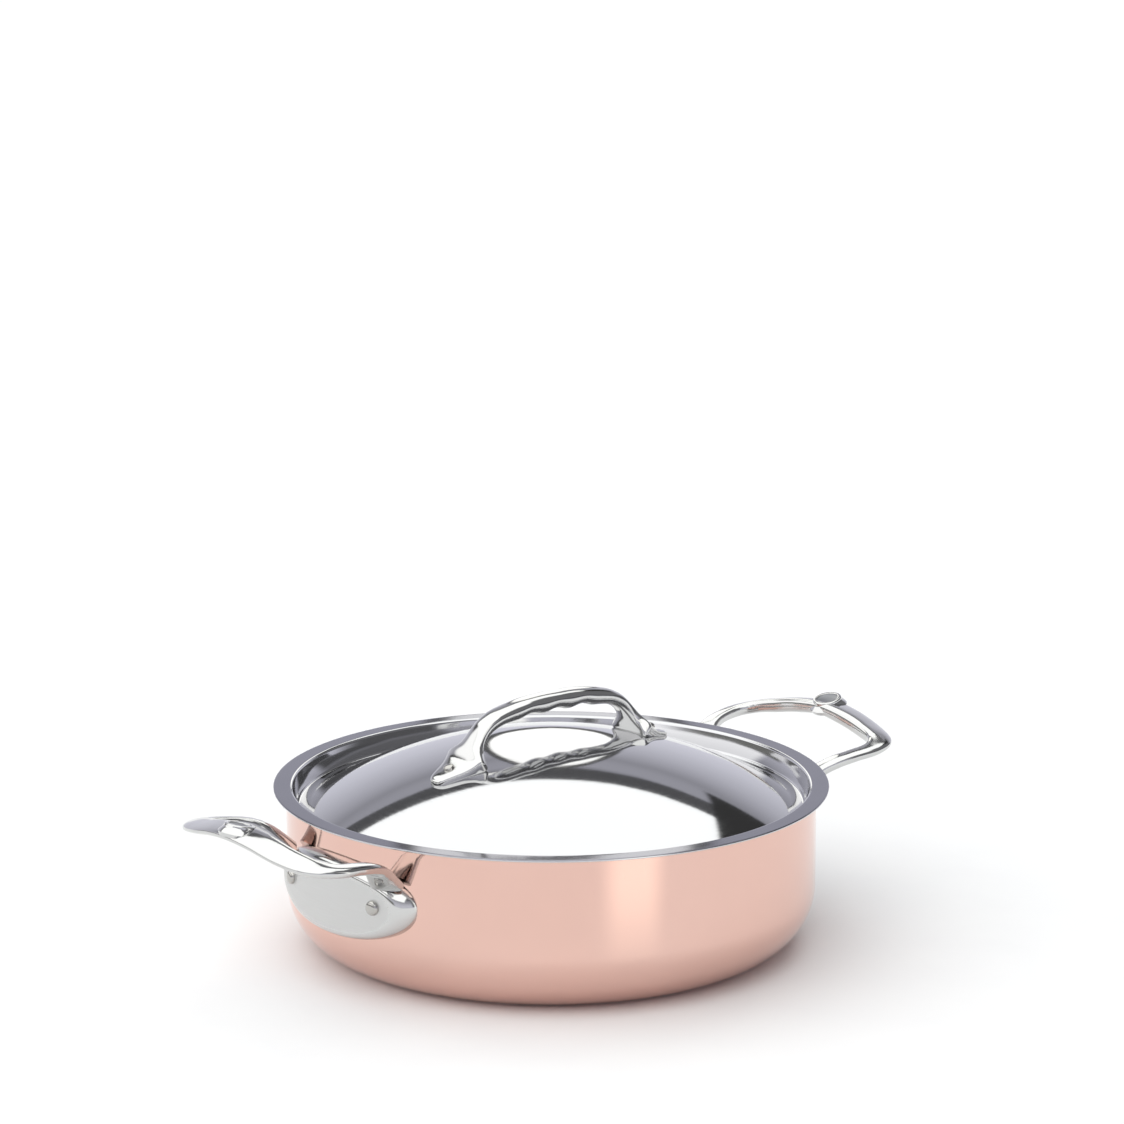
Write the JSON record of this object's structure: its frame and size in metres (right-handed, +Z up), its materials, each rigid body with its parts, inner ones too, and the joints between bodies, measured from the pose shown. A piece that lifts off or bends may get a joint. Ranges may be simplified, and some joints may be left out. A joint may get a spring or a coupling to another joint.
{
  "type": "saute pan with lid",
  "caption": "Low round copper saute pan with steel lining, two riveted cast side handles, and a domed drop-in steel lid with a riveted arch handle.",
  "frame": {"origin": "centre of the underside of the base, on the surface the pan stands on", "axes": "+Z up along the pan's axis; +X through the middle of the right side handle; +Y follows by the right-hand rule"},
  "size_m": [0.3646, 0.256, 0.1176],
  "materials": {
    "polished_copper": null,
    "brushed_lining": "brushed stainless steel",
    "cast_steel": "cast stainless steel, polished loop and satin plate",
    "rivet_steel": "polished stainless steel",
    "mirror_steel": "mirror polished stainless steel"
  },
  "bodies": {
    "pan": {"copper_body": "polished_copper", "steel_lining": "brushed_lining", "right_handle": "cast_steel", "left_handle": "cast_steel", "right_handle_rivet_front": "rivet_steel", "right_handle_rivet_rear": "rivet_steel", "left_handle_rivet_front": "rivet_steel", "left_handle_rivet_rear": "rivet_steel"},
    "lid": {"lid_shell": "mirror_steel", "lid_handle": "cast_steel", "right_lid_rivet": "rivet_steel", "left_lid_rivet": "rivet_steel"}
  },
  "joints": [
    {"name": "lid_lift", "type": "slide", "parent": "pan", "child": "lid", "axis": [0, 0, 1], "range_m": [0, 0.12]}
  ]
}
